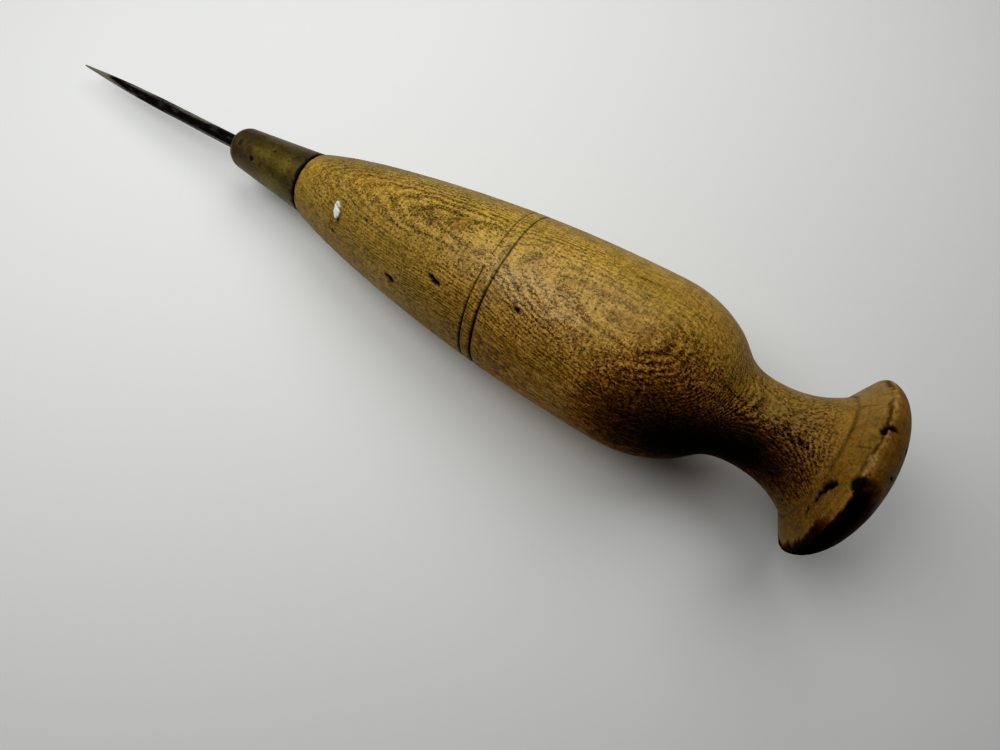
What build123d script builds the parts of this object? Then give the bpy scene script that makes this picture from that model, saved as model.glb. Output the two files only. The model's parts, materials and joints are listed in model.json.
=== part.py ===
from build123d import *
import os

# A turned-handle awl lying on its side: a steel spike, a closed brass ferrule and a wooden handle
# that ends in a flared knob.  All sizes are in millimetres.
#
# Each piece is drawn on the tool's own axis.  A station is a distance along that axis, negative
# towards the point and positive towards the butt, with 0 where the ferrule meets the handle.  At the
# end the pieces are laid down together.  Most of the weight is forward of the widest place, so the
# tool lies nose down: the belly is on the ground, Z = 0, and the point and the knob are just off it.

# Handle: stations along the axis and the radius at each.
SHOULDER_STATION, SHOULDER_RADIUS = 0.9, 5.95
SHOULDER_CHAMFER = 0.15
FRONT_SLOPE = 0.34
FRONT_STATION, FRONT_RADIUS = 20.3, 10.4
MIDDLE_STATION, MIDDLE_RADIUS = 40.5, 13.1
BELLY_STATION, BELLY_RADIUS = 65.8, 14.25
HIP_STATION, HIP_RADIUS = 70.9, 13.87
NECK_STATION, NECK_RADIUS = 79.0, 10.25
WAIST_STATION, WAIST_RADIUS = 86.45, 6.93
RIDGE_STATION, RIDGE_RADIUS = 95.4, 9.87
RIDGE_SLOPE = 0.79
RIM_STATION, RIM_RADIUS = 97.9, 14.15
RIM_ROUND = 0.5
DOME_HEIGHT = 6.4

# The two lines scribed round the handle: station, width and depth of each V-shaped cut.
SCRIBED_LINES = [(41.7, 0.30, 0.12), (43.8, 0.55, 0.25)]

# Ferrule: a tapered tube, closed by a domed nose that has a hole for the spike.
FERRULE_REAR_STATION, FERRULE_REAR_RADIUS = 0.4, 5.72
FERRULE_TAPER = 0.11
FERRULE_WALL = 0.7
NOSE_BASE_STATION = -15.8
NOSE_HEIGHT = 2.75
SPIKE_HOLE_RADIUS = 1.6

# Spigot: the front of the handle, which fills the ferrule up to just behind its nose.
SPIGOT_CLEARANCE = 0.03
SPIGOT_FRONT_GAP = 0.4

# Spike: a long taper from a fine point, then a shank that runs back to a shoulder.
POINT_STATION, POINT_RADIUS = -61.8, 0.08
POINT_SLOPE = 0.1
TAPER_STATION, TAPER_RADIUS = -38.0, 1.19
TAPER_SLOPE = 0.012
SHANK_RADIUS = 1.3
SPIKE_BEND = 0.95
BEND_DIRECTION = 202

# Tang: the square, tapered bar behind the shank, driven into its socket in the handle.
TANG_FRONT_STATION, TANG_FRONT_WIDTH = -15.5, 1.8
TANG_REAR_STATION, TANG_REAR_WIDTH = 26.0, 0.9
SOCKET_CLEARANCE = 0.04
SOCKET_REAR_GAP = 1.0

# Lying down, the tool leans nose down until its weight is right above the place that it lies on.
REST_LEAN = 5.2


def ferrule_radius(station):
    """Outer radius of the ferrule's cone at a station."""
    return FERRULE_REAR_RADIUS + FERRULE_TAPER * (station - FERRULE_REAR_STATION)


def turned(*outline):
    """The solid that a lathe makes from an outline drawn between the axis and the surface."""
    return revolve(make_face(outline), axis=Axis.X)


def square_taper(front_station, front_width, rear_station, rear_width):
    """A square bar on the axis, front_width across at its front and rear_width at its rear."""
    front = Plane(origin=(front_station, 0, 0), z_dir=(1, 0, 0)) * Rectangle(front_width, front_width)
    rear = Plane(origin=(rear_station, 0, 0), z_dir=(1, 0, 0)) * Rectangle(rear_width, rear_width)
    return loft([front, rear])


def spike():
    """The round spike on the axis, from its point to the flat shoulder at the tang's front."""
    point = Line((POINT_STATION, 0), (POINT_STATION, POINT_RADIUS))
    taper = Spline(
        point @ 1,
        (TAPER_STATION, TAPER_RADIUS),
        tangents=[(1, POINT_SLOPE), (1, TAPER_SLOPE)],
    )
    shank = Line(taper @ 1, (TANG_FRONT_STATION, SHANK_RADIUS))
    shoulder = Line(shank @ 1, (TANG_FRONT_STATION, 0))
    return turned(point, taper, shank, shoulder, Line(shoulder @ 1, point @ 0))


def blade():
    """The spike, bent a little out of line at its shoulder, and the straight tang behind it."""
    bend_across = Vector(0, 1, 0).rotate(Axis.X, BEND_DIRECTION)
    bend = Axis((TANG_FRONT_STATION, 0, 0), Vector(-1, 0, 0).cross(bend_across))
    root = TANG_FRONT_STATION - SHANK_RADIUS
    tang = square_taper(root, TANG_FRONT_WIDTH, TANG_REAR_STATION, TANG_REAR_WIDTH)
    return spike().rotate(bend, SPIKE_BEND) + tang


def ferrule_blank(inset):
    """A solid cone with a domed nose, the ferrule's outer shape made smaller by inset."""
    nose_radius = ferrule_radius(NOSE_BASE_STATION) - inset
    nose = EllipticalCenterArc(
        (NOSE_BASE_STATION, 0), NOSE_HEIGHT - inset, nose_radius, start_angle=90, arc_size=90
    )
    rear = Line((FERRULE_REAR_STATION, 0), (FERRULE_REAR_STATION, FERRULE_REAR_RADIUS - inset))
    return turned(rear, Line(rear @ 1, nose @ 0), nose, Line(nose @ 1, rear @ 0))


def ferrule():
    """The tapered brass tube, with its domed nose and the hole that the spike comes out of."""
    hole = Rot(0, -90, 0) * Cylinder(
        SPIKE_HOLE_RADIUS, -2 * NOSE_BASE_STATION, align=(Align.CENTER, Align.CENTER, Align.MIN)
    )
    return ferrule_blank(0) - ferrule_blank(FERRULE_WALL) - hole


def scribed_cut(outline, station, width, depth):
    """The ring that cuts a V-shaped line, with its mouth on the outline at the station."""
    surface = outline.find_intersection_points(Axis((station, 0, 0), (0, 1, 0)))[0].Y
    return turned(
        *Polyline(
            (station, surface - depth),
            (station + width, surface + depth),
            (station - width, surface + depth),
            close=True,
        ).edges()
    )


def tang_socket():
    """The square hole for the tang, a little larger all round and deeper than the tang."""
    narrowing = (TANG_FRONT_WIDTH - TANG_REAR_WIDTH) / (TANG_REAR_STATION - TANG_FRONT_STATION)
    return square_taper(
        TANG_FRONT_STATION,
        TANG_FRONT_WIDTH + 2 * SOCKET_CLEARANCE,
        TANG_REAR_STATION + SOCKET_REAR_GAP,
        TANG_REAR_WIDTH - narrowing * SOCKET_REAR_GAP + 2 * SOCKET_CLEARANCE,
    )


def handle():
    """The turned handle: spigot, swelling body, waist, flared knob and domed butt."""
    spigot_front = NOSE_BASE_STATION + SPIGOT_FRONT_GAP
    inset = FERRULE_WALL + SPIGOT_CLEARANCE
    spigot_end = Line((spigot_front, 0), (spigot_front, ferrule_radius(spigot_front) - inset))
    spigot = Line(spigot_end @ 1, (SHOULDER_STATION, ferrule_radius(SHOULDER_STATION) - inset))
    shoulder = Line(spigot @ 1, (SHOULDER_STATION, SHOULDER_RADIUS - SHOULDER_CHAMFER))
    chamfer_edge = Line(shoulder @ 1, (SHOULDER_STATION + SHOULDER_CHAMFER, SHOULDER_RADIUS))
    body = Spline(
        chamfer_edge @ 1,
        (FRONT_STATION, FRONT_RADIUS),
        (MIDDLE_STATION, MIDDLE_RADIUS),
        (BELLY_STATION, BELLY_RADIUS),
        tangents=[(1, FRONT_SLOPE), (1, 0)],
    )
    neck = Spline(
        body @ 1,
        (HIP_STATION, HIP_RADIUS),
        (NECK_STATION, NECK_RADIUS),
        (WAIST_STATION, WAIST_RADIUS),
        tangents=[(1, 0), (1, 0)],
    )
    flare = Spline(neck @ 1, (RIDGE_STATION, RIDGE_RADIUS), tangents=[(1, 0), (1, RIDGE_SLOPE)])
    knob = Line(flare @ 1, (RIM_STATION, RIM_RADIUS))
    dome = EllipticalCenterArc((RIM_STATION, 0), DOME_HEIGHT, RIM_RADIUS, start_angle=90, arc_size=-90)
    axis_line = Line(dome @ 1, spigot_end @ 0)
    solid = turned(spigot_end, spigot, shoulder, chamfer_edge, body, neck, flare, knob, dome, axis_line)

    rim = solid.edges().filter_by(GeomType.CIRCLE).sort_by(Axis.X)[-1]
    solid = fillet(rim, RIM_ROUND)
    for station, width, depth in SCRIBED_LINES:
        solid -= scribed_cut(body, station, width, depth)
    return solid - tang_socket()


pieces = {"blade": blade(), "ferrule": ferrule(), "handle": handle()}
lying = {node: Rot(0, -REST_LEAN, 0) * piece for node, piece in pieces.items()}
boxes = [piece.bounding_box() for piece in lying.values()]
middle = (min(box.min.X for box in boxes) + max(box.max.X for box in boxes)) / 2
ground = min(box.min.Z for box in boxes)

os.makedirs("parts", exist_ok=True)
for node, piece in lying.items():
    export_step(Pos(-middle, 0, -ground) * piece, f"parts/{node}.step")
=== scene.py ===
import json
import math

import bpy
import numpy as np
from mathutils import Matrix, Vector


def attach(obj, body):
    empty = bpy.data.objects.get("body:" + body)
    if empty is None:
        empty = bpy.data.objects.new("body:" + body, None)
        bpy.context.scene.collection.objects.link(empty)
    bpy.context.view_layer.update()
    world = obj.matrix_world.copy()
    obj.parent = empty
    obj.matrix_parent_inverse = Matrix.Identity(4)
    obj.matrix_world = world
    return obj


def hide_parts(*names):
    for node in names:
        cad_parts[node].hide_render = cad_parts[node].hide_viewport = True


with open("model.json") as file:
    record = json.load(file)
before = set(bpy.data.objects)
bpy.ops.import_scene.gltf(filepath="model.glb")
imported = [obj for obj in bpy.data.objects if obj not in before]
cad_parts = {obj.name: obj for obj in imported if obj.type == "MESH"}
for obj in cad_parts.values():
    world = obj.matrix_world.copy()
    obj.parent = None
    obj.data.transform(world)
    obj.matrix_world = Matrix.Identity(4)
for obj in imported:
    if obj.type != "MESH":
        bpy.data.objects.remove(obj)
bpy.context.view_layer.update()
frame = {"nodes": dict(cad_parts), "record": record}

# The tool's own axis, from the record's waist mount. A station is a distance in millimetres along
# it, with 0 where the ferrule meets the handle. A turn is an angle round it in degrees: 90 is up.
MM = 0.001
WAIST_STATION = 86.45
CLIP = next(m for m in frame["record"]["mounts"] if m["name"] == "waist_clip")
ALONG = np.array(CLIP["axis"])
ALONG = ALONG / np.linalg.norm(ALONG)
ACROSS = np.array([0.0, 1.0, 0.0])
UPWARD = np.cross(ALONG, ACROSS)
ZERO = np.array(CLIP["pos_m"]) - WAIST_STATION * MM * ALONG
TOOL_AXES = np.array([ALONG, ACROSS, UPWARD])

# How an outline is read from the CAD mesh and drawn again: the least part of a face's normal that
# points away from the axis, the angle in degrees of a corner that stays sharp, the distance under
# which two rings count as one, and the step at which curves are worked out, both in millimetres.
OUTWARD_SLOPE = 0.02
SHARP_CORNER = 17.0
LEAST_STEP = 0.015
FINE_STEP = 0.02


# ---------------------------------------------------------------- shapes in the tool's own frame


def to_tool(points):
    """Row-frame points in metres as station, across and upward in millimetres."""
    return (np.asarray(points) - ZERO) @ TOOL_AXES.T / MM


def to_row(points):
    """Station, across and upward in millimetres as row-frame points in metres."""
    return np.asarray(points) @ TOOL_AXES * MM + ZERO


def hashed(x, y, z, seed):
    """A number from 0 to 1 for each whole-number cell."""
    h = (x * 374761393 + y * 668265263 + z * 1442695041 + seed * 974711) & 0xFFFFFFFF
    h = ((h ^ (h >> 13)) * 1274126177) & 0xFFFFFFFF
    h = ((h ^ (h >> 16)) * 2246822519) & 0xFFFFFFFF
    return (h ^ (h >> 15)) / 4294967295.0


def noise(points, size, seed):
    """Smooth noise from -1 to 1. size is that of its lumps in millimetres, one for each axis."""
    q = np.asarray(points, float) / np.asarray(size, float)
    cell = np.floor(q).astype(np.int64)
    f = q - cell
    f = f * f * (3 - 2 * f)
    total = np.zeros(len(q))
    for dx in (0, 1):
        for dy in (0, 1):
            for dz in (0, 1):
                wx = f[:, 0] if dx else 1 - f[:, 0]
                wy = f[:, 1] if dy else 1 - f[:, 1]
                wz = f[:, 2] if dz else 1 - f[:, 2]
                value = hashed(cell[:, 0] + dx, cell[:, 1] + dy, cell[:, 2] + dz, seed)
                total += wx * wy * wz * value
    return total * 2 - 1


def smooth(x, low, high):
    """0 below low, 1 above high and a smooth rise between them, or a fall if low is the higher."""
    t = np.clip((np.asarray(x, float) - low) / (high - low), 0, 1)
    return t * t * (3 - 2 * t)


def profile(stations, knots):
    """A value that runs straight from one (station, value) knot to the next."""
    return np.interp(stations, *zip(*knots))


def cad_points(node):
    """The vertices of a CAD node in the tool's own frame."""
    mesh = frame["nodes"][node].data
    co = np.zeros(len(mesh.vertices) * 3)
    mesh.vertices.foreach_get("co", co)
    return to_tool(co.reshape(-1, 3))


def rings_of(stations, radii):
    """The largest radius at each station, with the stations in order."""
    rings = {}
    for station, radius in zip(stations, radii):
        key = round(float(station), 2)
        rings[key] = max(rings.get(key, 0.0), float(radius))
    ordered = sorted(rings)
    return np.array(ordered), np.array([rings[key] for key in ordered])


def outer_rings(node, first=-math.inf, skip=()):
    """Stations and radii of the rings of vertices on a CAD node's outside, from a station on.
    skip holds the (station, half width) of stretches that are left out."""
    tool = cad_points(node)
    outside = []
    for face in frame["nodes"][node].data.polygons:
        corners = tool[list(face.vertices)]
        normal = TOOL_AXES @ np.array(face.normal)
        middle = corners.mean(0)
        outward = normal[1] * middle[1] + normal[2] * middle[2]
        if outward > OUTWARD_SLOPE * max(np.hypot(middle[1], middle[2]), 0.05):
            outside.append(corners)
    s, y, z = np.vstack(outside).T
    kept = s >= first
    for station, half in skip:
        kept &= np.abs(s - station) >= half
    return rings_of(s[kept], np.hypot(y, z)[kept])


def resample(stations, radii, spacing):
    """The outline drawn again at about the wanted spacing, which may vary with the station. Curved
    stretches are smoothed, and a turn sharper than SHARP_CORNER stays sharp."""
    pts = np.c_[stations, radii]
    apart = np.hypot(*np.diff(pts, axis=0).T) > LEAST_STEP
    pts = pts[np.r_[True, apart]]
    step = np.diff(pts, axis=0)
    heading = np.degrees(np.arctan2(step[:, 1], step[:, 0]))
    corners = np.flatnonzero(np.abs(np.diff(heading)) > SHARP_CORNER) + 1
    breaks = [0, *corners, len(pts) - 1]
    out = []
    for a, b in zip(breaks[:-1], breaks[1:]):
        p = pts[a : b + 1]
        t = np.r_[0, np.cumsum(np.hypot(*np.diff(p, axis=0).T))]
        if len(p) > 2:
            slope = np.gradient(p, t, axis=0)
        else:
            slope = np.repeat([(p[1] - p[0]) / t[1]], 2, 0)
        fine = np.linspace(0, t[-1], max(2, int(t[-1] / FINE_STEP)))
        i = np.clip(np.searchsorted(t, fine, side="right") - 1, 0, len(t) - 2)
        h = (t[i + 1] - t[i])[:, None]
        u = ((fine - t[i]) / (t[i + 1] - t[i]))[:, None]
        curve = (
            (2 * u**3 - 3 * u**2 + 1) * p[i]
            + (u**3 - 2 * u**2 + u) * h * slope[i]
            + (3 * u**2 - 2 * u**3) * p[i + 1]
            + (u**3 - u**2) * h * slope[i + 1]
        )
        weight = 1 / np.array([spacing(s) for s in curve[:, 0]])
        run = np.r_[0, np.cumsum((weight[1:] + weight[:-1]) / 2 * np.diff(fine))]
        count = max(2, int(round(run[-1])) + 1)
        want = np.interp(np.linspace(0, run[-1], count), run, fine)
        part = np.c_[np.interp(want, fine, curve[:, 0]), np.interp(want, fine, curve[:, 1])]
        out.append(part if not out else part[1:])
    return np.vstack(out)


def outline_normals(outline):
    """Outward normals of an outline, as station and radius parts."""
    along = np.gradient(outline, axis=0)
    along /= np.maximum(np.hypot(*along.T), 1e-9)[:, None]
    return np.c_[-along[:, 1], along[:, 0]]


class Lathe:
    """A turned surface as a grid of points, one row for each point of the outline. shown_rows says
    which rows are on the outside, where the surface can be seen."""

    def __init__(self, outline, columns, shown_rows=True):
        rows = len(outline)
        self.grid = np.arange(rows * columns).reshape(rows, columns)
        self.shown = np.repeat(np.broadcast_to(shown_rows, rows), columns)
        self.station = np.repeat(outline[:, 0], columns)
        self.radius = np.repeat(outline[:, 1], columns)
        self.turn = np.tile(np.arange(columns) * 360.0 / columns, rows)
        self.normal = np.repeat(outline_normals(outline), columns, axis=0)
        a = np.radians(self.turn)
        self.cos, self.sin = np.cos(a), np.sin(a)
        self.relief = np.zeros(rows * columns)
        self.at = self.placed()

    def placed(self):
        """The points in the tool's frame, moved along their normals by the relief."""
        s = self.station + self.relief * self.normal[:, 0]
        r = np.maximum(self.radius + self.relief * self.normal[:, 1], 0)
        return np.c_[s, r * self.cos, r * self.sin]

    def away(self, station, turn):
        """Each point's distance along and round from a place on the surface, in millimetres."""
        turned = (self.turn - turn + 180) % 360 - 180
        return self.station - station, np.radians(turned) * self.radius

    def blob(self, station, turn, length, width, lean=0.0):
        """1 at a place, falling to 0 over an oval. lean turns the oval, in degrees."""
        u, v = self.away(station, turn)
        c, s = math.cos(math.radians(lean)), math.sin(math.radians(lean))
        distance = np.hypot((u * c + v * s) / length, (v * c - u * s) / width)
        return smooth(distance, 1.3, 0.5)

    def stroke(self, places, width):
        """1 on a line through (station, turn) places, falling to 0 at its width."""
        nearest = np.full(len(self.station), np.inf)
        for (s0, t0), (s1, t1) in zip(places[:-1], places[1:]):
            u, v = self.away(s0, t0)
            du = s1 - s0
            dv = np.radians(t1 - t0) * self.radius
            k = np.clip((u * du + v * dv) / np.maximum(du * du + dv * dv, 1e-9), 0, 1)
            nearest = np.minimum(nearest, np.hypot(u - k * du, v - k * dv))
        return smooth(nearest, width, width * 0.35)

    def faces(self, closed_outline=False):
        """Quads between each row and the next. A closed outline joins the last row to the first."""
        following = np.roll(self.grid, -1, axis=0)
        quads = [
            np.c_[a, b, np.roll(b, -1), np.roll(a, -1)] for a, b in zip(self.grid, following)
        ]
        return np.vstack(quads if closed_outline else quads[:-1])


class Marks:
    """What cuts, pits and wear do to a surface, and the painted shadow beside the white fleck:
    relief in millimetres, and ink from 0 to 1, for how black each point is."""

    def __init__(self, relief):
        self.relief = relief
        self.ink = np.zeros(len(relief))

    def cut(self, depth, dark=0.0):
        """Sinks the surface by a depth and blackens it. A depth below zero raises it."""
        self.relief = self.relief - depth
        self.ink = np.maximum(self.ink, dark)


def build_mesh(name, points, faces, attributes, cap_rows=()):
    """A mesh object in the row frame. cap_rows are (row, flip) pairs: each row is closed with a fan
    round a new centre, which takes its attributes from the row's first vertex."""
    points = list(map(tuple, to_row(points)))
    polys = [tuple(int(v) for v in f) for f in faces]
    for row, flip in cap_rows:
        centre = len(points)
        points.append(tuple(np.mean([points[v] for v in row], axis=0)))
        for a, b in zip(row, np.roll(row, -1)):
            polys.append((centre, int(b), int(a)) if flip else (centre, int(a), int(b)))
    mesh = bpy.data.meshes.new(name)
    mesh.from_pydata(points, [], polys)
    mesh.validate()
    centres = [row[0] for row, _ in cap_rows]
    for key, values in attributes.items():
        values = np.asarray(values, float)
        if centres:
            values = np.concatenate([values, values[centres]])
        if values.ndim == 2:
            layer = mesh.attributes.new(key, "FLOAT_VECTOR", "POINT")
            layer.data.foreach_set("vector", values.astype(np.float32).ravel())
        else:
            layer = mesh.attributes.new(key, "FLOAT", "POINT")
            layer.data.foreach_set("value", values.astype(np.float32))
    mesh.shade_smooth()
    obj = bpy.data.objects.new(name, mesh)
    bpy.context.scene.collection.objects.link(obj)
    return obj


# ---------------------------------------------------------------- material helper


class Nodes:
    """Short calls that add shader nodes and link them. Texture scales are in lumps a millimetre."""

    def __init__(self, name):
        self.material = bpy.data.materials.new(name)
        self.material.use_nodes = True
        self.tree = self.material.node_tree
        self.tree.nodes.clear()
        self.out = self.add("ShaderNodeOutputMaterial")
        self.shader = self.add("ShaderNodeBsdfPrincipled")
        self.link(self.shader.outputs["BSDF"], self.out.inputs["Surface"])

    def add(self, kind, **settings):
        node = self.tree.nodes.new(kind)
        for key, value in settings.items():
            setattr(node, key, value)
        return node

    def link(self, source, target):
        """Links a socket to an input, or sets the input if the source is a plain value."""
        if isinstance(source, bpy.types.NodeSocket):
            self.tree.links.new(source, target)
        else:
            target.default_value = source

    def attribute(self, name, vector=False):
        node = self.add("ShaderNodeAttribute", attribute_name=name)
        return node.outputs["Vector" if vector else "Fac"]

    def math(self, operation, a, b=0.0, clamp=False):
        node = self.add("ShaderNodeMath", operation=operation, use_clamp=clamp)
        self.link(a, node.inputs[0])
        self.link(b, node.inputs[1])
        return node.outputs[0]

    def times(self, a, b):
        return self.math("MULTIPLY", a, b)

    def plus(self, a, b, clamp=False):
        return self.math("ADD", a, b, clamp)

    def minus(self, a, b):
        return self.math("SUBTRACT", a, b)

    def larger(self, a, b):
        return self.math("MAXIMUM", a, b)

    def stretch(self, vector, scale):
        node = self.add("ShaderNodeVectorMath", operation="MULTIPLY")
        self.link(vector, node.inputs[0])
        node.inputs[1].default_value = scale
        return node.outputs[0]

    def noise(self, vector, scale, detail=2.0, roughness=0.5, distortion=0.0):
        node = self.add("ShaderNodeTexNoise")
        self.link(self.stretch(vector, scale), node.inputs["Vector"])
        node.inputs["Scale"].default_value = 1.0
        node.inputs["Detail"].default_value = detail
        node.inputs["Roughness"].default_value = roughness
        node.inputs["Distortion"].default_value = distortion
        return node.outputs["Fac"]

    def part(self, vector, index):
        """One of the three numbers of a vector or colour."""
        node = self.add("ShaderNodeSeparateXYZ")
        self.link(vector, node.inputs[0])
        return node.outputs[index]

    def cells(self, vector, scale):
        """Distance to the nearest of many scattered points, and that point's own colour."""
        node = self.add("ShaderNodeTexVoronoi")
        self.link(self.stretch(vector, scale), node.inputs["Vector"])
        node.inputs["Scale"].default_value = 1.0
        return node.outputs["Distance"], node.outputs["Color"]

    def rise(self, value, low, high):
        """0 below low, 1 above high, smooth between; or a fall if low is the higher."""
        node = self.add("ShaderNodeMapRange", interpolation_type="SMOOTHSTEP")
        self.link(value, node.inputs["Value"])
        flip = low > high
        node.inputs["From Min"].default_value = min(low, high)
        node.inputs["From Max"].default_value = max(low, high)
        node.inputs["To Min"].default_value = 1.0 if flip else 0.0
        node.inputs["To Max"].default_value = 0.0 if flip else 1.0
        return node.outputs["Result"]

    def mix(self, factor, a, b, blend="MIX"):
        node = self.add("ShaderNodeMix", data_type="RGBA", blend_type=blend)
        self.link(factor, node.inputs[0])
        for value, socket in ((a, node.inputs[6]), (b, node.inputs[7])):
            if isinstance(value, tuple):
                socket.default_value = (*value, 1.0)
            else:
                self.link(value, socket)
        return node.outputs[2]

    def tint(self, base, amount, most, colour):
        """The base colour with another over it, at most as strong as most says."""
        return self.mix(self.times(amount, most), base, colour)

    def bump(self, height, distance, strength):
        """A bumpy normal. The distance is the height of the bumps in metres."""
        node = self.add("ShaderNodeBump")
        node.inputs["Strength"].default_value = strength
        node.inputs["Distance"].default_value = distance
        self.link(height, node.inputs["Height"])
        return node.outputs["Normal"]


# ---------------------------------------------------------------- handle

HANDLE_COLUMNS = 384
SHOULDER_STATION = 0.9
RIDGE_STATION, RIM_STATION = 95.4, 98.1
FLECK_STATION, FLECK_TURN, FLECK_LEAN = 12.75, 124.2, -12
CRESCENT_TURN = 200
LAYER_THICKNESS = 0.34

# Station and width.
SCRIBED = [(41.7, 0.30), (43.8, 0.45)]

# Station, turn, half length, half width, depth and lean.
PITS = [
    (26.9, 153.2, 0.85, 0.62, 0.40, 20),
    (26.0, 152.0, 0.30, 0.25, 0.15, 0),
    (35.3, 132.0, 1.40, 0.55, 0.45, 20),
    (49.4, 120.5, 0.5, 0.45, 0.22, 0),
    (12.6, 148, 0.3, 0.3, 0.12, 0),
    (19.5, 118, 0.35, 0.3, 0.12, 0),
    (91.3, 107.5, 0.42, 0.42, 0.22, 0),
    (90.5, 111.0, 0.30, 0.30, 0.15, 0),
    (97.75, 82.3, 0.36, 0.95, 0.40, 0),
    (98.45, 80.2, 0.95, 0.42, 0.32, 0),
    (98.14, 115.0, 0.85, 1.30, 0.35, 0),
    (30.5, 250, 0.9, 0.6, 0.3, 40),
    (55.0, 310, 0.7, 0.5, 0.25, 10),
    (72.0, 20, 0.8, 0.4, 0.25, 80),
    (102.0, 69.0, 0.35, 0.5, 0.15, 0),
    (102.0, 81.0, 0.35, 0.5, 0.15, 0),
    (101.5, 103.0, 0.30, 0.35, 0.12, 0),
]

# Drying cracks and scratches: (station, turn) places along each, then its width, depth and ink.
CRACKS = [
    ([(96.3, 121.5), (96.1, 126), (96.0, 130)], 0.50, 0.35, 1.0),
    ([(96.0, 130), (95.9, 135), (96.0, 140)], 0.26, 0.25, 1.0),
    ([(96.0, 141), (96.0, 148), (96.2, 154)], 0.17, 0.15, 0.8),
    ([(95.9, 95.3), (97.0, 94.8), (97.8, 93.9)], 0.11, 0.06, 0.65),
    ([(95.5, 55.7), (96.4, 59), (97.2, 62.4)], 0.10, 0.05, 0.45),
    ([(62.0, 66.0), (63.0, 64.4), (63.7, 65.6), (64.7, 64.2)], 0.17, 0.10, 0.9),
    ([(60.2, 68.0), (61.2, 67.0), (62.0, 66.0)], 0.12, 0.05, 0.55),
    ([(64.7, 64.2), (66.5, 63.0), (68.0, 62.6)], 0.11, 0.04, 0.45),
    ([(61.5, 95.4), (61.9, 97.8)], 0.16, 0.08, 0.8),
    ([(60.9, 94.9), (61.4, 95.6)], 0.12, 0.04, 0.5),
    ([(61.2, 140), (63.0, 142.4), (64.8, 141)], 0.14, 0.10, 0.9),
    ([(73.5, 95), (75.6, 95.8)], 0.15, 0.08, 0.8),
    ([(76.1, 96.1), (77.6, 96.8)], 0.17, 0.08, 0.85),
    ([(78.0, 97.0), (80.0, 98), (81.6, 98.9)], 0.15, 0.08, 0.85),
    ([(82.1, 99.3), (84.2, 100.3)], 0.16, 0.08, 0.8),
    ([(74.2, 98.2), (76.8, 99.8), (78.6, 101.0)], 0.10, 0.04, 0.6),
    ([(74.5, 78), (77.0, 82), (79.5, 84)], 0.12, 0.06, 0.4),
    ([(12.0, 236), (18.0, 239), (26.0, 238)], 0.15, 0.08, 0.6),
    ([(50.0, 12), (57.0, 14), (62.0, 13)], 0.15, 0.08, 0.6),
]

# The dark stain behind the belly, which is dirt in the hollow together with painted shade on the
# flank turned away from the lights, as (station, value) knots: the turn of its middle, how many
# degrees it reaches above and below that, and its strength.
STAIN_AND_SHADE_TURN = [(72, 151), (79, 155), (84, 154), (90, 149)]
STAIN_AND_SHADE_REACH_UP = [
    (58, 40), (63, 60), (66, 72), (71, 82), (76, 82), (83, 70), (88, 74), (92, 78), (95, 66),
]
STAIN_AND_SHADE_REACH_DOWN = [
    (58, 46), (63, 66), (67, 78), (71, 74), (76, 82), (82, 92), (87, 90), (92, 70), (95, 60),
]
STAIN_AND_SHADE_STRENGTH = [
    (56, 0), (60, 0.26), (63, 0.58), (67, 0.78), (71, 0.88),
    (75, 0.98), (87, 1.0), (91, 0.80), (94.5, 0.50), (96.5, 0.0),
]

# How light the wood itself has stayed along the handle.
WOOD_TONE = [
    (0, 0.86), (8, 0.76), (20, 0.78), (32, 0.80), (44, 0.93), (58, 0.98), (66, 0.90),
    (74, 0.77), (84, 0.53), (91, 0.42), (95, 0.49), (98, 0.53), (104, 0.48),
]

# The growth layers lie flat where the surface shows an eye: their turn and height follow the eyes.
LAYER_TURN = [(0, 92), (34.6, 88.5), (64.6, 100.5), (86.5, 86), (104, 96)]
LAYER_HEIGHT = [(0, 0), (34.6, 3.6), (42, 4.3), (54, 3.9), (64.6, 3.9), (104, 3.9)]

# Linear colours of the wood, its marks and its dirt. The stain colours also carry painted shade,
# the black of the marks carries a painted shadow beside the fleck, and the scuffs' colour carries a
# painted sheen.
OLD_GOLD, PALE_GOLD = (0.400, 0.254, 0.029), (0.490, 0.298, 0.042)
REDDISH_LAYER, OLIVE_LAYER = (0.50, 0.255, 0.040), (0.27, 0.190, 0.025)
WARM_WOOD = (0.52, 0.270, 0.030)
DARK_CLOUD, LIGHT_CLOUD = (0.18, 0.115, 0.018), (0.66, 0.43, 0.10)
DARK_FLECK, LIGHT_FLECK = (0.100, 0.055, 0.007), (0.76, 0.50, 0.125)
TURNING_MARK, SCUFF_AND_SHEEN = (0.14, 0.075, 0.012), (0.70, 0.58, 0.38)
OPEN_PORE = (0.050, 0.026, 0.005)
WORN_RIM = (0.42, 0.265, 0.120)
THIN_STAIN_AND_SHADE, BLACK_STAIN_AND_SHADE = (0.45, 0.255, 0.055), (0.003, 0.0015, 0.0005)
MARK_AND_SHADOW_BLACK = (0.004, 0.003, 0.002)
WHITE_FILLER = (0.80, 0.80, 0.76)


def handle_spacing(station):
    """Row spacing along the outline: fine at the cut lines, the shoulder, the fleck and the rim."""
    if min(abs(station - at) for at, _ in SCRIBED) < 0.6:
        return 0.1
    if station < 2.2 or 10.6 < station < 14.4:
        return 0.28
    if RIDGE_STATION - 0.6 < station < RIM_STATION + 1.0:
        return 0.2
    return 0.6


def handle_shape():
    """The handle as a lathe: a plain spigot inside the ferrule, then the turned outside."""
    scribes = [(station, 0.4) for station, _ in SCRIBED]
    outside = resample(*outer_rings("handle", SHOULDER_STATION - 0.02, scribes), handle_spacing)
    rings = np.column_stack(outer_rings("handle"))
    spigot = rings[rings[:, 0] < SHOULDER_STATION - 0.05][[0, -1]]
    hidden = np.vstack([spigot, (SHOULDER_STATION, spigot[-1, 1])])
    outline = np.vstack([hidden, outside])
    return Lathe(outline, HANDLE_COLUMNS, np.arange(len(outline)) >= len(hidden))


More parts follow.
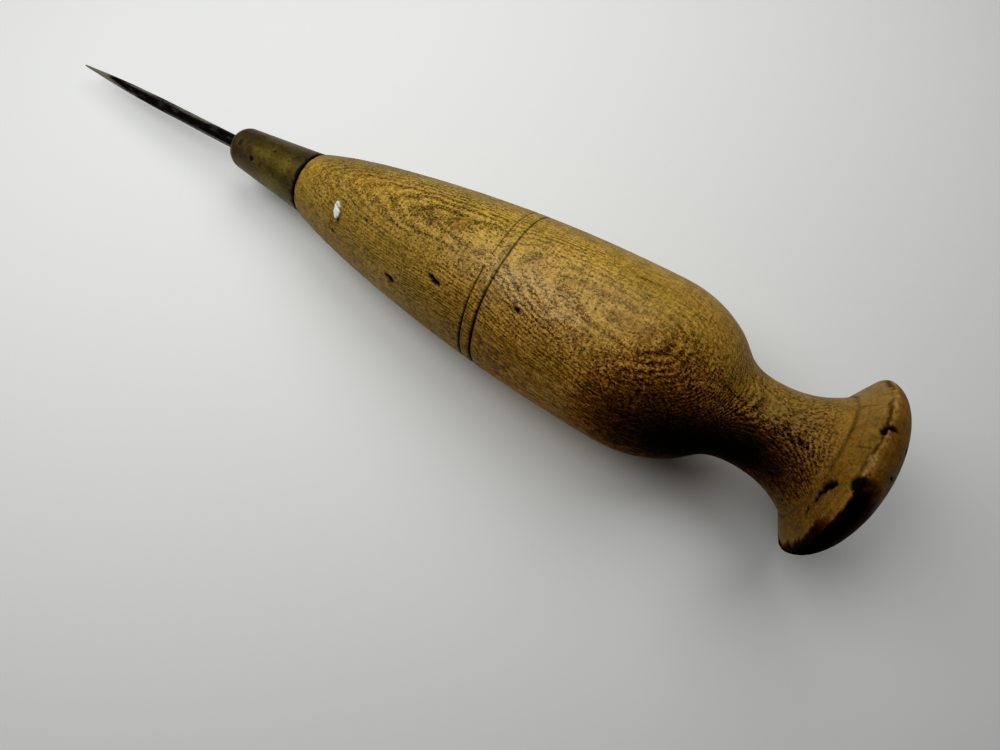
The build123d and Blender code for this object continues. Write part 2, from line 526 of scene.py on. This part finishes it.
def cut_scribed_lines(lathe, marks):
    """The first line is faint and broken on top, and the second is cut deeper."""
    turn, at = lathe.turn, lathe.at
    wobble = 0.10 * noise(at, (40, 5, 5), 4) + 0.03 * noise(at, (40, 1.2, 1.2), 5)
    side = smooth(turn, 95, 150) * smooth(turn, 300, 230)
    broken = smooth(noise(at, (40, 1.6, 1.6), 6), -0.6, -0.2)
    faint = (0.72 + 0.28 * side) * (side + (1 - side) * broken)
    for (station, width), strength in zip(SCRIBED, (faint, 0.8 + 0.2 * side)):
        off = np.abs(lathe.station - station - wobble)
        half = width * (0.34 + 0.30 * side)
        groove = smooth(off, half * 1.9, half * 0.3)
        line = smooth(off, half * 1.45, half * 0.35)
        marks.cut((0.12 + 0.13 * side) * groove * strength, line * strength)


def wear_shoulder(lathe, marks):
    """A worn, slightly ragged edge and a black line next to the ferrule."""
    edge = smooth(lathe.station, 1.9, 1.0) * lathe.shown
    marks.cut(edge * 0.22 * smooth(noise(lathe.at, (3, 0.9, 0.9), 7), 0.0, 0.8))
    marks.cut(edge * 0.08 * smooth(noise(lathe.at, (3, 0.35, 0.35), 8), 0.0, 0.8))
    line_end = SHOULDER_STATION + 0.16 + 0.12 * noise(lathe.at, (3, 0.8, 0.8), 23)
    marks.cut(0, smooth(lathe.station, line_end + 0.12, line_end - 0.02))


def cut_pits_and_cracks(lathe, marks):
    ragged = 1 + 0.55 * noise(lathe.at, 0.60, 9) + 0.55 * noise(lathe.at, 0.34, 30)
    for station, turn, length, width, depth, lean in PITS:
        pit = smooth(lathe.blob(station, turn, length, width, lean) * ragged, 0.20, 0.6)
        marks.cut(depth * pit, pit)
    broken = smooth(noise(lathe.at, 0.6, 10), -1.0, -0.1)
    for places, width, depth, dark in CRACKS:
        line = lathe.stroke(places, width) * broken
        marks.cut(depth * line, line * dark)


def wear_knob(lathe, marks):
    """A fine cut on the ridge, and a chipped rim with a dark edge. Returns where the rim is worn to
    pale wood."""
    s, turn, at = lathe.station, lathe.turn, lathe.at
    ridge = smooth(np.abs(s - RIDGE_STATION - 0.05), 0.26, 0.06)
    marks.cut(0.05 * ridge, 0.45 * ridge * smooth(noise(at, (9, 3, 3), 11), -0.8, 0.3))

    rim = smooth(np.abs(s - RIM_STATION + 0.15), 0.9, 0.15) * lathe.shown
    chips = smooth(noise(at, 1.1, 12) + 0.5 * noise(at, 0.45, 13), 0.1, 0.8)
    waver = 0.16 * noise(at, (2.0, 1.2, 1.2), 14) + 0.08 * noise(at, 0.4, 21)
    line = smooth(np.abs(s - RIM_STATION + 0.40 + waver), 0.24, 0.06) * lathe.shown
    line *= smooth(noise(at, (3, 0.8, 0.8), 27), -0.55, 0.15)
    marks.cut(0.24 * rim * chips, 0.70 * line * smooth(turn, 125, 105) * smooth(turn, 20, 34))

    worn = smooth(np.abs(s - RIM_STATION - 0.05 + waver), 0.62, 0.25) * lathe.shown
    worn *= smooth(noise(at, 0.34, 22) + 0.5 * noise(at, (2.0, 1.6, 1.6), 26), 0.08, 0.30)
    worn *= smooth(turn, 122, 108) * smooth(turn, 20, 50)
    return worn


def stick_fleck(lathe, marks):
    """A fleck of white filler on the front, with a slit and a painted shadow beside it. Returns
    where it is.
    """
    ragged = lathe.blob(FLECK_STATION, FLECK_TURN, 0.74, 1.62, FLECK_LEAN)
    ragged = ragged + 0.12 * noise(lathe.at, 0.5, 15)
    slit = lathe.stroke([(12.5, 119.0), (13.15, 121.2)], 0.16)
    fleck = smooth(ragged, 0.5, 0.62) * (1 - slit)
    # A painted shadow beside the fleck.
    fleck_shadow = lathe.blob(13.4, 128.6, 0.50, 1.3, FLECK_LEAN) * (1 - fleck)
    marks.cut(-0.22 * fleck, np.maximum(0.95 * fleck_shadow, 0.8 * slit))
    return fleck


def stain_and_painted_shade(lathe, ragged, off):
    """How dark each point is painted, from 0 to 1: dirt in the waist's hollow together with painted
    shade on the flank turned away from the lights, on the butt's low side and under the rim. ragged
    shifts the edges of the stains, and off is how far round each point is from the middle of the
    stain, both in degrees."""
    s, turn, r = lathe.station, lathe.turn, lathe.radius
    reach = np.where(off < 0, profile(s, STAIN_AND_SHADE_REACH_UP), profile(s, STAIN_AND_SHADE_REACH_DOWN))
    # hollow is dirt in the waist together with painted shade on the flank turned away from the
    # lights; side is painted shade along that flank.
    hollow = profile(s, STAIN_AND_SHADE_STRENGTH) * smooth(np.abs(off) / reach, 1.05, 0.0) ** 0.68
    side = smooth(np.abs(off), 72, 15) * smooth(s, 18, 50) * smooth(s, 98.4, 96.5)
    upper = 0.16 * smooth(s, 63, 72) * smooth(s, 96, 92) * smooth(turn, 25, 100)

    # The butt, a little stained all over, with dirt and painted shade as a dark crescent on its low
    # side, and painted shade on the underside of the rim.
    butt = smooth(s + 0.04 * ragged, RIM_STATION - 0.25, RIM_STATION + 0.25)
    butt *= 1 - 0.30 * smooth(s, 99.6, 102.4)
    knob_radius = r[s > RIDGE_STATION].max()
    low = r * np.cos(np.radians(turn - CRESCENT_TURN)) - 0.45 * (knob_radius - r)
    crescent = butt * smooth(low + 0.17 * ragged, -2.6, 2.8)
    rim = smooth(s + 0.06 * ragged, 96.9, RIM_STATION - 0.3)
    rim *= smooth(s, RIM_STATION + 0.9, RIM_STATION + 0.1)
    rim = 0.9 * rim * smooth(turn, 128, 150) * smooth(turn, 300, 250)
    grime_and_shade = np.maximum.reduce([hollow, 0.32 * side, upper, 0.34 * butt, crescent, rim])
    return np.clip(grime_and_shade, 0, 1)


def growth(lathe):
    """Where each point is in the tree (along the grain, across it, and through the growth layers),
    and flank, which is 1 where the surface cuts across the layers and 0 where it lies flat."""
    s, at = lathe.station, lathe.at
    lie = np.radians(profile(s, LAYER_TURN))
    through = at[:, 1] * np.cos(lie) + at[:, 2] * np.sin(lie) - profile(s, LAYER_HEIGHT)
    across = at[:, 1] * np.sin(lie) - at[:, 2] * np.cos(lie)
    through = through + 0.22 * noise(at, (11, 5, 5), 18) + 0.07 * noise(at, (3.5, 1.8, 1.8), 19)
    facing = np.abs(np.cos(np.radians(lathe.turn) - lie))
    flank = smooth(facing + 0.16 * noise(at, (9, 3, 3), 20), 0.93, 0.66)
    return np.c_[s, across, through], flank


def wood_figure(lathe, off, flank):
    """What varies the wood's colour from place to place: tone, which also holds painted shade and
    painted light on the far upper side, warmth, and calm, where the figure fades out."""
    s, turn, at = lathe.station, lathe.turn, lathe.at
    eyes = np.maximum.reduce([
        lathe.blob(34.6, 88.5, 1.1, 2.0, 20),
        lathe.blob(63.8, 98.5, 2.0, 1.7),
        lathe.blob(67.0, 99.0, 1.5, 1.5),
        lathe.blob(87.2, 86.0, 3.6, 2.4),
    ])
    eyes = smooth(eyes * (1 + 0.8 * noise(at, 0.7, 25)), 0.1, 0.9)

    # Painted shade on the far upper side near the front, and painted light on that side from the
    # waist to the knob.
    far_side_light_and_shade = smooth(np.abs(turn - 40), 50, 20)
    far_side_light_and_shade = 1 - 0.26 * far_side_light_and_shade * smooth(s, 20, 5) + 0.20 * far_side_light_and_shade * smooth(s, 80, 88)
    tone = profile(s, WOOD_TONE) * (1 + 0.10 * noise(at, (8, 5, 5), 24))
    tone = tone * (1 - 0.15 * flank * smooth(s, 66, 46)) * (1 - 0.12 * eyes) * far_side_light_and_shade

    warmth = 0.75 * smooth(s, 62, 84) + 0.35 * smooth(s, 88, 95)
    warmth = np.maximum(warmth, 0.55 * smooth(np.abs(off), 80, 25) * smooth(s, 26, 54))
    warmth = np.clip(np.maximum(warmth, 0.9 * eyes), 0, 1)

    calm = np.maximum.reduce([
        0.60 * eyes * smooth(s, 84, 78),
        0.62 * smooth(s, 92.5, 96),
        0.40 * smooth(s, 9, 2),
        0.34 * smooth(s, 52, 66) * smooth(s, 84, 74),
        0.34 * flank * smooth(s, 30, 48),
        0.80 * smooth(s, 98.0, 98.8),
    ])
    calm = calm - 0.32 * lathe.blob(30.0, 84, 11, 5.5)
    layers = (1 - calm) * (1 + 0.8 * lathe.blob(66.0, 98, 8, 7))
    return {"tone": tone, "warmth": warmth, "calm": calm, "layers": layers}


def handle_object():
    lathe = handle_shape()
    at = lathe.at

    # Slight unevenness of hand turning and long use.
    uneven = 0.035 * noise(at, (26, 12, 12), 1) + 0.012 * noise(at, (1.2, 9, 9), 2)
    marks = Marks(uneven + 0.008 * noise(at, (3.0, 0.7, 0.7), 3))
    cut_scribed_lines(lathe, marks)
    wear_shoulder(lathe, marks)
    cut_pits_and_cracks(lathe, marks)
    worn = wear_knob(lathe, marks)
    fleck = stick_fleck(lathe, marks)
    lathe.relief = np.where(lathe.shown, marks.relief, 0.0)

    ragged = 6 * noise(at, (6, 3, 3), 16) + 4 * noise(at, (1.8, 1.0, 1.0), 17)
    ragged += 3 * noise(at, (0.9, 0.5, 0.5), 28)
    off = lathe.turn + ragged - profile(lathe.station, STAIN_AND_SHADE_TURN)
    grain, flank = growth(lathe)
    obj = build_mesh(
        "wood_handle",
        lathe.placed(),
        lathe.faces(),
        {
            "tool": at,
            "grain": grain,
            "flank": flank,
            # Dirt in the waist's hollow, with painted shade on the flank turned away from the
            # lights, on the butt and under the rim.
            "grime_and_shade": stain_and_painted_shade(lathe, ragged, off),
            "ink": np.where(lathe.shown, marks.ink, 1.0),
            "worn": worn,
            "fleck": fleck,
            "gloss": lathe.blob(52.0, 100, 17, 8),
            # Pale scuffs with a painted sheen, where the highlight falls on the belly.
            "scuff_and_sheen": lathe.blob(50.5, 108, 8.5, 2.6, 4) * (0.6 + 0.4 * noise(at, (3, 1, 1), 29)),
            **wood_figure(lathe, off, flank),
        },
        cap_rows=[(lathe.grid[0], False), (lathe.grid[-1], True)],
    )
    obj.data.materials.append(wood_material())
    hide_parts("handle")
    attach(obj, "root")


def wood_material():
    """Fine-pored hardwood: thin growth layers, dense dark flecks, an old waxy finish and dirt, with
    painted shade, a painted shadow and a painted sheen.
    """
    n = Nodes("turned_hardwood")
    grain = n.attribute("grain", vector=True)
    tool = n.attribute("tool", vector=True)
    grime_and_shade, ink = n.attribute("grime_and_shade"), n.attribute("ink")
    lively = n.minus(1.0, n.attribute("calm"))

    # Broad colour: golden and olive clouds, and faint reddish growth layers.
    blotch = n.noise(tool, (0.09, 0.16, 0.16), 2.0)
    bands = n.noise(grain, (0.03, 0.10, 1.1), 1.0)
    cloud = n.noise(tool, (0.45, 0.75, 0.75), 2.0, 0.6)
    base = n.mix(n.rise(blotch, 0.35, 0.65), OLD_GOLD, PALE_GOLD)
    base = n.tint(base, n.rise(bands, 0.55, 0.72), 0.30, REDDISH_LAYER)
    base = n.tint(base, n.rise(bands, 0.46, 0.30), 0.30, OLIVE_LAYER)
    base = n.tint(base, n.attribute("warmth"), 0.75, WARM_WOOD)
    base = n.tint(base, n.rise(cloud, 0.52, 0.34), 0.42, DARK_CLOUD)
    base = n.tint(base, n.rise(cloud, 0.52, 0.68), 0.27, LIGHT_CLOUD)

    # Growth layers, which gather the dark flecks wherever the surface cuts through them.
    sway = n.noise(tool, (0.30, 0.5, 0.5), 2.0)
    wave = n.times(n.part(grain, 2), 2 * math.pi / LAYER_THICKNESS)
    wave = n.math("SINE", n.plus(wave, n.times(sway, 6.5)))
    patches = n.rise(n.noise(grain, (0.08, 0.14, 0.30), 2.0), 0.30, 0.50)
    ring = n.times(n.times(wave, patches), n.attribute("layers"))

    # Faces cut flat to the layers are mottled; faces cut across them are streaked.
    mottle = n.noise(tool, (2.1, 2.8, 2.8), 2.5, 0.66, 0.8)
    fine = n.noise(tool, (3.8, 4.6, 4.6), 1.0, 0.5)
    streak = n.noise(grain, (0.80, 2.6, 3.2), 2.5, 0.64, 0.5)
    figure = n.part(n.mix(n.times(n.attribute("flank"), 0.78), mottle, streak), 0)
    figure = n.plus(n.times(figure, 0.74), n.times(fine, 0.26))
    figure = n.minus(figure, n.times(ring, 0.052))
    marks = n.noise(tool, (3.2, 0.12, 0.12), 1.0)
    dark = n.times(n.rise(figure, 0.500, 0.375), lively)
    light = n.times(n.rise(figure, 0.50, 0.61), lively)
    base = n.tint(base, dark, 0.84, DARK_FLECK)
    base = n.tint(base, light, 0.60, LIGHT_FLECK)
    base = n.tint(base, n.rise(marks, 0.55, 0.35), 0.25, TURNING_MARK)

    # Pale scuffs on the belly with a painted sheen where the highlight falls, then open pores.
    sheen_streaks = n.rise(n.noise(tool, (0.7, 4.2, 4.2), 2.0, 0.6), 0.44, 0.62)
    base = n.tint(base, n.times(sheen_streaks, n.attribute("scuff_and_sheen")), 0.62, SCUFF_AND_SHEEN)
    distance, colour = n.cells(grain, (1.35, 1.9, 2.3))
    pore = n.times(n.rise(distance, 0.36, 0.14), n.rise(n.part(colour, 0), 0.42, 0.66))
    pore = n.times(pore, lively)
    base = n.tint(base, pore, 0.70, OPEN_PORE)

    # How light the wood is, the worn rim, then the stain and the painted shade: brown where thin,
    # and black where thick.
    toned = n.add("ShaderNodeVectorMath", operation="SCALE")
    n.link(base, toned.inputs[0])
    n.link(n.attribute("tone"), toned.inputs["Scale"])
    base = n.tint(toned.outputs[0], n.attribute("worn"), 0.66, WORN_RIM)
    uneven = n.times(n.minus(figure, 0.5), -14.0)
    covered = n.times(n.times(n.minus(1.0, grime_and_shade), grime_and_shade), lively)
    darkening = n.plus(grime_and_shade, n.times(uneven, covered), clamp=True)
    base = n.mix(n.rise(darkening, 0.0, 0.70), base, THIN_STAIN_AND_SHADE, "MULTIPLY")
    base = n.tint(base, n.rise(darkening, 0.42, 1.0), 0.992, BLACK_STAIN_AND_SHADE)
    # Black cuts, pits and cracks, and the fleck's painted shadow.
    base = n.tint(base, ink, 0.985, MARK_AND_SHADOW_BLACK)
    base = n.mix(n.attribute("fleck"), base, WHITE_FILLER)
    n.link(base, n.shader.inputs["Base Color"])

    rough = n.plus(0.38, n.times(figure, 0.22))
    rough = n.plus(rough, n.times(n.larger(ink, darkening), 0.3), clamp=True)
    n.link(rough, n.shader.inputs["Roughness"])
    shine = n.plus(0.15, n.times(n.attribute("gloss"), 0.27))
    shine = n.times(shine, n.minus(1.0, n.larger(darkening, ink)))
    n.link(shine, n.shader.inputs["Specular IOR Level"])
    height = n.minus(figure, n.times(pore, 0.7))
    n.link(n.bump(height, 0.00010, 0.9), n.shader.inputs["Normal"])
    return n.material


# ---------------------------------------------------------------- ferrule

FERRULE_COLUMNS = 288
FERRULE_WALL = 0.7
NOSE_STATION = -15.0

# Station, turn, half length, half width, depth and ink.
BRASS_SPOTS = [
    (-6.7, 90.0, 0.38, 0.42, 0.08, 0.75),
    (-11.0, 128.5, 0.62, 0.55, 0.14, 1.0),
    (-8.9, 126.5, 1.40, 0.45, 0.04, 0.40),
    (-14.8, 104.0, 0.55, 1.0, 0.05, 0.75),
    (-13.2, 95.0, 0.55, 0.60, 0.04, 0.45),
    (-12.3, 117.0, 0.90, 0.80, 0.05, 0.50),
    (-13.6, 134.0, 0.55, 0.60, 0.04, 0.45),
    (-6.5, 129.0, 0.40, 0.45, 0.05, 0.45),
    (-2.8, 136.0, 0.35, 0.80, 0.05, 0.55),
    (-4.6, 97.5, 0.35, 0.35, 0.03, 0.30),
    (-8.5, 240.0, 0.60, 0.50, 0.14, 0.9),
    (-4.0, 320.0, 0.50, 0.60, 0.12, 0.9),
    (-12.5, 30.0, 0.50, 0.50, 0.10, 0.7),
]

# Linear colours of the brass and its patina.
OLIVE_BRASS, GOLDEN_BRASS = (0.092, 0.066, 0.007), (0.160, 0.120, 0.016)
DARK_MOTTLE, LIGHT_MOTTLE = (0.046, 0.033, 0.005), (0.24, 0.19, 0.036)
REDDISH_PATINA = (0.120, 0.055, 0.015)
BROWN_DIRT, BLACK_SPOT = (0.035, 0.026, 0.005), (0.006, 0.004, 0.002)


def ferrule_shape():
    """The ferrule as a lathe with a closed outline: outside, mouth, inner wall and nose hole."""
    outer = resample(*outer_rings("ferrule"), lambda at: 0.16 if at < NOSE_STATION else 0.24)
    hole_radius = outer[0, 1]
    rear = outer[-1]
    inner = outer - outline_normals(outer) * FERRULE_WALL
    inner[:, 0] = np.minimum(inner[:, 0], rear[0])
    inner = inner[inner[:, 1] > hole_radius][::-6]
    inner[0, 0] = rear[0]
    rounded_edge = rear + (0.06, -0.04)
    outline = np.vstack([outer, rounded_edge, inner, (inner[-1, 0], hole_radius)])
    return Lathe(outline, FERRULE_COLUMNS, np.arange(len(outline)) < len(outer))


def ferrule_object():
    lathe = ferrule_shape()
    s, at = lathe.station, lathe.at
    uneven = 0.03 * noise(at, (9, 4, 4), 31) + 0.018 * noise(at, (3, 1.6, 1.6), 32)
    marks = Marks(uneven + 0.008 * noise(at, (5, 0.5, 0.5), 33))
    ragged = 1 + 0.8 * noise(at, 0.45, 34)
    for station, turn, length, width, depth, dark in BRASS_SPOTS:
        spot = smooth(lathe.blob(station, turn, length, width) * ragged, 0.05, 0.95)
        marks.cut(depth * spot, spot * dark)
    bites = smooth(noise(at, (3, 0.42, 0.42), 36), 0.0, 0.35) * smooth(s, -0.55, 0.15)
    rim = smooth(s + 0.10 * noise(at, (3, 0.7, 0.7), 37), 0.02, 0.26)
    marks.cut(0.10 * bites, np.maximum(bites, rim))
    lathe.relief = np.where(lathe.shown, marks.relief, 0.0)

    darkening = smooth(s, -3.2, 0.0) * 0.50 + smooth(s, -9.0, -14.5) * 0.58
    darkening = np.clip(darkening + 0.3 * noise(at, (2.5, 2, 2), 35), 0, 1)
    obj = build_mesh(
        "brass_ferrule",
        lathe.placed(),
        lathe.faces(closed_outline=True),
        {"tool": at, "darkening": np.where(lathe.shown, darkening, 1.0), "spots": marks.ink},
    )
    obj.data.materials.append(brass_material())
    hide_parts("ferrule")
    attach(obj, "root")


def brass_material():
    """Old brass under an olive-brown patina, with dark spots and a faint dull shine."""
    n = Nodes("aged_brass")
    tool = n.attribute("tool", vector=True)
    darkening, spots = n.attribute("darkening"), n.attribute("spots")
    cloud = n.noise(tool, (0.22, 0.35, 0.35), 3.0, 0.6)
    mottle = n.noise(tool, (1.1, 1.4, 1.4), 3.0, 0.68)
    fine = n.noise(tool, (2.2, 3.6, 3.6), 2.0, 0.6)
    reddish = n.times(n.rise(mottle, 0.42, 0.58), n.rise(darkening, 0.05, 0.40))
    base = n.mix(n.rise(cloud, 0.38, 0.62), OLIVE_BRASS, GOLDEN_BRASS)
    base = n.tint(base, n.rise(mottle, 0.48, 0.34), 0.80, DARK_MOTTLE)
    base = n.tint(base, n.rise(fine, 0.53, 0.68), 0.45, LIGHT_MOTTLE)
    base = n.tint(base, reddish, 0.75, REDDISH_PATINA)
    base = n.tint(base, darkening, 0.50, BROWN_DIRT)
    base = n.tint(base, spots, 0.95, BLACK_SPOT)
    n.link(base, n.shader.inputs["Base Color"])
    n.link(n.minus(0.75, n.times(spots, 0.7)), n.shader.inputs["Metallic"])
    rough = n.plus(0.36, n.times(mottle, 0.25))
    n.link(n.plus(rough, n.times(spots, 0.3), clamp=True), n.shader.inputs["Roughness"])
    shine = n.minus(0.5, n.times(spots, 0.4))
    n.link(shine, n.shader.inputs["Specular IOR Level"])
    height = n.plus(n.times(mottle, 0.6), n.times(fine, 0.4))
    n.link(n.bump(height, 0.00012, 0.6), n.shader.inputs["Normal"])
    return n.material


# ---------------------------------------------------------------- blade

BLADE_COLUMNS = 96
BLADE_ROW = 0.17
BEND_STATION = -15.5
POINT_RADIUS = 0.03
TANG_FRONT_HALF = 0.9

# Linear colours of the steel. Its worn grey also stands for a painted reflection.
BLACK_STEEL, BARE_STEEL_AND_REFLECTION = (0.003, 0.0025, 0.002), (0.24, 0.225, 0.18)
REDDISH_RUST = (0.060, 0.020, 0.010)


def spike_shape(spike, bend, forward):
    """The spike as a lathe about its own line, whose stations start at the bend."""
    along = (spike - bend) @ forward
    aside = spike - bend - along[:, None] * forward
    stations, radii = rings_of(along, np.linalg.norm(aside, axis=1))
    thick = radii > POINT_RADIUS
    stations, radii = stations[thick], radii[thick]
    outline = resample(np.r_[0.0, stations], np.r_[radii[0], radii], lambda at: BLADE_ROW)
    return Lathe(outline, BLADE_COLUMNS)


def tang_box(tool, first_vertex):
    """The square tang, hidden in the ferrule and the handle: its corners and its quads."""
    rear = tool[tool[:, 0] > tool[:, 0].max() - 0.05]
    ends = [(BEND_STATION - 1.0, TANG_FRONT_HALF), (rear[:, 0].max(), np.abs(rear[:, 1]).max())]
    square = [(-1, -1), (1, -1), (1, 1), (-1, 1)]
    corners = [(x, half * a, half * b) for x, half in ends for a, b in square]
    sides = [(i, (i + 1) % 4, (i + 1) % 4 + 4, i + 4) for i in range(4)]
    quads = np.array([*sides, (3, 2, 1, 0), (4, 5, 6, 7)])
    return np.array(corners), quads[:, ::-1] + first_vertex


def blade_object():
    tool = cad_points("blade")
    bend = np.array([BEND_STATION, 0.0, 0.0])
    tip = tool[tool[:, 0] < tool[:, 0].min() + 0.1].mean(0)
    length = np.linalg.norm(tip - bend)
    forward = (tip - bend) / length
    side = np.cross(forward, [0.0, 0.0, 1.0])
    side /= np.linalg.norm(side)
    over = np.cross(side, forward)
    lathe = spike_shape(tool[tool[:, 0] < BEND_STATION - 0.3], bend, forward)
    s, turn, at = lathe.station, lathe.turn, lathe.at

    # Round the point, and give the steel the slight flats and pits of hand grinding and rust.
    scale = np.clip(lathe.radius / 1.2, 0.05, 1.0)
    flats = np.cos(np.radians(turn * 4 + 30)) * 0.035
    pits = smooth(noise(at, (1.6, 0.7, 0.7), 51) + 0.4 * noise(at, (0.6, 0.3, 0.3), 52), 0.25, 0.9)
    near_point = smooth(s, length - 7.5, length - 11.0)
    relief = scale * (flats + 0.03 * noise(at, (6, 1.5, 1.5), 53))
    relief -= 0.035 * pits * near_point * scale
    lathe.relief = relief + 0.07 * smooth(s, length - 4.0, length - 0.5)

    low_side = smooth(turn, 100, 150) * smooth(turn, 300, 220)
    polish_edge = s + 1.8 * noise(at, (2.5, 0.8, 0.8), 54) + 4.0 * low_side
    # Worn grey strips on the upper far side and the near side, which also stand for a painted
    # reflection there.
    rubbed_and_reflection = 0.9 * smooth(np.abs(turn - 52), 44, 10) + 0.6 * smooth(np.abs(turn - 168), 20, 4)
    looks = {
        "rust": pits * near_point,
        "polish": smooth(polish_edge, length - 10.5, length - 5.0),
        "back": s / length,
        "rubbed_and_reflection": rubbed_and_reflection * smooth(noise(at, (4.0, 1.2, 1.2), 55), -0.40, 0.35),
    }

    along, aside, above = np.hsplit(lathe.placed(), 3)
    spike = bend + along * forward + aside * side + above * over
    corners, tang_quads = tang_box(tool, len(spike))
    points = np.vstack([spike, corners])
    obj = build_mesh(
        "steel_blade",
        points,
        np.vstack([lathe.faces()[:, ::-1], tang_quads]),
        {
            "tool": points,
            **{key: np.r_[values, np.zeros(len(corners))] for key, values in looks.items()},
        },
        cap_rows=[(lathe.grid[0], True), (lathe.grid[-1], False)],
    )
    obj.data.materials.append(steel_material())
    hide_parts("blade")
    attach(obj, "root")


def steel_material():
    """Old tool steel: nearly black, worn grey in places, with a painted reflection in two grey
    strips along its length, and brighter at the point.
    """
    n = Nodes("old_steel")
    tool = n.attribute("tool", vector=True)
    rust, polish, back = n.attribute("rust"), n.attribute("polish"), n.attribute("back")
    wear = n.noise(tool, (0.30, 1.1, 1.1), 3.0, 0.65)
    fine = n.noise(tool, (1.8, 3.6, 3.6), 3.0, 0.6)
    # Worn grey steel, with a painted reflection in the two strips along the spike.
    bare_and_reflection = n.larger(n.times(n.rise(wear, 0.50, 0.70), 0.16), n.attribute("rubbed_and_reflection"))
    bare_and_reflection = n.times(bare_and_reflection, n.rise(fine, 0.26, 0.58))
    bare_and_reflection = n.times(bare_and_reflection, n.rise(back, 0.04, 0.12))
    bare_and_reflection = n.larger(bare_and_reflection, n.times(polish, 0.90))
    bare_and_reflection = n.times(bare_and_reflection, n.minus(1.0, n.times(rust, 0.7)))
    reddish = n.times(n.rise(fine, 0.58, 0.70), n.minus(1.0, polish))
    base = n.mix(bare_and_reflection, BLACK_STEEL, BARE_STEEL_AND_REFLECTION)
    base = n.tint(base, reddish, 0.55, REDDISH_RUST)
    n.link(base, n.shader.inputs["Base Color"])
    n.link(n.times(bare_and_reflection, 0.4), n.shader.inputs["Metallic"])
    n.link(n.plus(0.03, n.times(bare_and_reflection, 0.45)), n.shader.inputs["Specular IOR Level"])
    n.link(n.plus(0.36, n.times(fine, 0.25)), n.shader.inputs["Roughness"])
    n.link(n.bump(fine, 0.0001, 0.7), n.shader.inputs["Normal"])
    return n.material


# ---------------------------------------------------------------- stage, light and camera

FLOOR_HALF = 1.6
DAYLIGHT = (1.0, 0.997, 0.985)
LIGHT_SPREAD = math.radians(120)

# Fitted to the outline in the photo: the camera's place in metres and its angles in degrees.
CAMERA_PLACE = (0.0436834, -0.0374654, 0.1059846)
CAMERA_AZIMUTH, CAMERA_ELEVATION = 32.8836, 72.6906
LENS_MM, SENSOR_MM = 22.021, 36.0


def floor():
    mesh = bpy.data.meshes.new("floor")
    h = FLOOR_HALF
    mesh.from_pydata([(-h, -h, 0), (h, -h, 0), (h, h, 0), (-h, h, 0)], [], [(0, 1, 2, 3)])
    obj = bpy.data.objects.new("floor", mesh)
    bpy.context.scene.collection.objects.link(obj)
    n = Nodes("pale_floor")
    n.shader.inputs["Base Color"].default_value = (0.80, 0.81, 0.80, 1.0)
    n.shader.inputs["Roughness"].default_value = 0.9
    n.shader.inputs["Specular IOR Level"].default_value = 0.2
    mesh.materials.append(n.material)


def area_light(name, location, target, size, watts):
    """A round soft light in metres and watts, turned towards its target."""
    data = bpy.data.lights.new(name, "AREA")
    data.shape = "DISK"
    data.size = size
    data.spread = LIGHT_SPREAD
    data.energy = watts
    data.color = DAYLIGHT
    obj = bpy.data.objects.new(name, data)
    obj.location = location
    towards = Vector(target) - Vector(location)
    obj.rotation_euler = towards.to_track_quat("-Z", "Y").to_euler()
    bpy.context.scene.collection.objects.link(obj)


def lighting():
    area_light("key_left", (-0.13, -0.03, 0.24), (-0.05, 0.01, 0.0), 0.20, 0.180)
    area_light("key_back", (0.01, 0.15, 0.24), (-0.01, 0.04, 0.0), 0.24, 0.165)
    world = bpy.data.worlds.new("studio")
    world.use_nodes = True
    background = world.node_tree.nodes["Background"]
    background.inputs["Color"].default_value = (0.95, 0.97, 1.0, 1.0)
    background.inputs["Strength"].default_value = 0.05
    bpy.context.scene.world = world


def camera():
    a, e = math.radians(CAMERA_AZIMUTH), math.radians(CAMERA_ELEVATION)
    back = Vector((math.sin(a) * math.cos(e), -math.cos(a) * math.cos(e), math.sin(e)))
    right = Vector((math.cos(a), math.sin(a), 0.0))
    turned = Matrix((right, back.cross(right), back)).transposed().to_4x4()
    data = bpy.data.cameras.new("camera")
    data.lens, data.sensor_width = LENS_MM, SENSOR_MM
    data.clip_start, data.clip_end = 0.01, 20.0
    obj = bpy.data.objects.new("camera", data)
    obj.matrix_world = Matrix.Translation(CAMERA_PLACE) @ turned
    bpy.context.scene.collection.objects.link(obj)
    bpy.context.scene.camera = obj


handle_object()
ferrule_object()
blade_object()
floor()
lighting()
camera()
bpy.context.scene.view_settings.view_transform = "Standard"
bpy.context.scene.view_settings.look = "Medium High Contrast"
